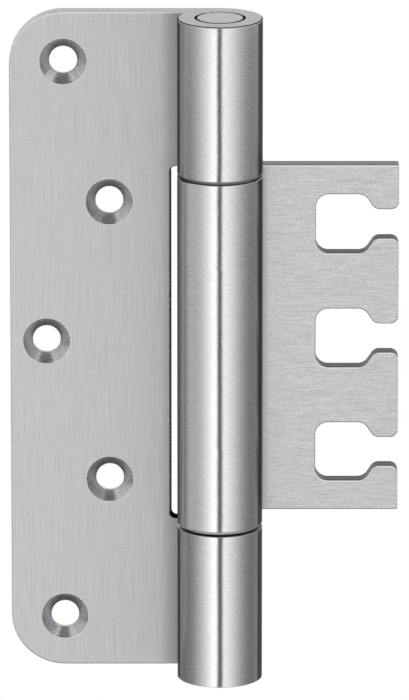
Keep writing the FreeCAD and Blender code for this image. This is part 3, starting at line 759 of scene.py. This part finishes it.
def matt_sheet(name, points, hex_colour):
    """One flat face of the studio in a matt colour."""
    face = list(range(len(points)))
    return stage_piece(name, points, [face], "ShaderNodeBsdfDiffuse", {"Color": linear(hex_colour)})


floor_turns = np.linspace(0, 2 * np.pi, CIRCLE_STEPS, endpoint=False)
floor_rim = np.stack((
    FLOOR_R * np.cos(floor_turns), FLOOR_R * np.sin(floor_turns), np.full(CIRCLE_STEPS, FLOOR_Z)), 1)
matt_sheet("studio_floor", floor_rim, FLOOR_WHITE)
flag_x = np.concatenate((FLAG_BOTTOM_X, FLAG_TOP_X[::-1]))
flag_points = np.stack((flag_x, np.full(4, FLAG_Y), np.repeat((FLAG_BOTTOM, FLAG_TOP), 2)), 1)
flag = matt_sheet("dark_flag", flag_points, FLAG_GREY)
flag.visible_camera = False
under_points = floor_rim * (UNDER_FLAG_R / FLOOR_R, UNDER_FLAG_R / FLOOR_R, UNDER_FLAG_Z / FLOOR_Z)
under_flag = matt_sheet("under_flag", under_points, UNDER_GREY)
under_flag.visible_camera = False
bearings = np.arange(-180, 180, 1.0)


def lamp_glow(bearing, spread, strength):
    """Light of one soft lamp round the tent: a bell curve over the turn from the lamp's own bearing."""
    turn = (bearings - bearing + 180) % 360 - 180
    return strength * np.exp(-(turn / spread) ** 2 / 2)


lower = SIDE_LEVEL + lamp_glow(*FRONT_LAMP) + lamp_glow(*KEY_LAMP) + lamp_glow(*BACK_LAMP)
upper, high, ceiling = (
    np.interp(bearings, *table.T) for table in (UPPER_LEVELS, HIGH_LEVELS, CEILING_LEVELS))
# rows of the tent, up from the floor and in over the ceiling: radius, height and light
tent_rows = [
    (TENT_R, FLOOR_Z, lower), (TENT_R, LOWER_TOP, lower), (TENT_R, UPPER_FOOT, upper),
    (TENT_R, UPPER_TOP, upper), (TENT_R, HIGH_FOOT, high), (TENT_R, TENT_TOP, high),
    (HIGH_R, TENT_TOP, high), (CEILING_R, TENT_TOP, ceiling), (TENT_HUB_R, TENT_TOP, ceiling)]
tent_ids = np.arange(len(bearings) * len(tent_rows)).reshape(len(bearings), -1)
tent_turns = np.radians(bearings)
tent_points = np.stack([
    np.stack((radius * np.sin(tent_turns), -radius * np.cos(tent_turns), np.full_like(tent_turns, z)), 1)
    for radius, z, _ in tent_rows], 1)
tent = stage_piece(
    "light_tent", tent_points.reshape(-1, 3), ring_quads(tent_ids).tolist(), "ShaderNodeEmission", {})
tent.visible_camera = False
levels = np.stack([light for _, _, light in tent_rows], 1).astype(np.float32).ravel()
tent.data.attributes.new("level", "FLOAT", "POINT").data.foreach_set("value", levels)
tent_paint = tent.data.materials[0]
tent_paint.cycles.emission_sampling = "NONE"
level = add_node(tent_paint.node_tree, "ShaderNodeAttribute", {}, attribute_name="level").outputs["Fac"]
tent_paint.node_tree.links.new(level, tent_paint.node_tree.nodes["Emission"].inputs["Strength"])

white_room = bpy.data.worlds.new("white_room")
white_room.use_nodes = True
white_room.node_tree.nodes["Background"].inputs["Color"].default_value = linear(ROOM_WHITE)
white_room.node_tree.nodes["Background"].inputs["Strength"].default_value = 1.0
bpy.context.scene.world = white_room

# Camera: a long lens from far off, as the photograph's edges are nearly parallel, looking a little down on
# the open hinge and framed as the photograph is.
CAMERA_RISE, CAMERA_DISTANCE = np.radians(15.56), 2.2
CAMERA_TARGET = np.array([-3.61, 0.0, 79.9]) * MM
CAMERA_LENS, SENSOR_WIDTH, CLIP_END = 482.5, 36.0, 20.0
camera_data = bpy.data.cameras.new("long_lens")
camera_data.sensor_width = SENSOR_WIDTH
camera_data.lens = CAMERA_LENS
camera_data.clip_end = CLIP_END
camera = bpy.data.objects.new("long_lens", camera_data)
bpy.context.scene.collection.objects.link(camera)
back_off = CAMERA_DISTANCE * np.array([0, -np.cos(CAMERA_RISE), np.sin(CAMERA_RISE)])
camera.location = CAMERA_TARGET + back_off
camera.rotation_euler = (np.pi / 2 - CAMERA_RISE, 0, 0)
bpy.context.scene.camera = camera
bpy.context.scene.view_settings.view_transform = "Standard"
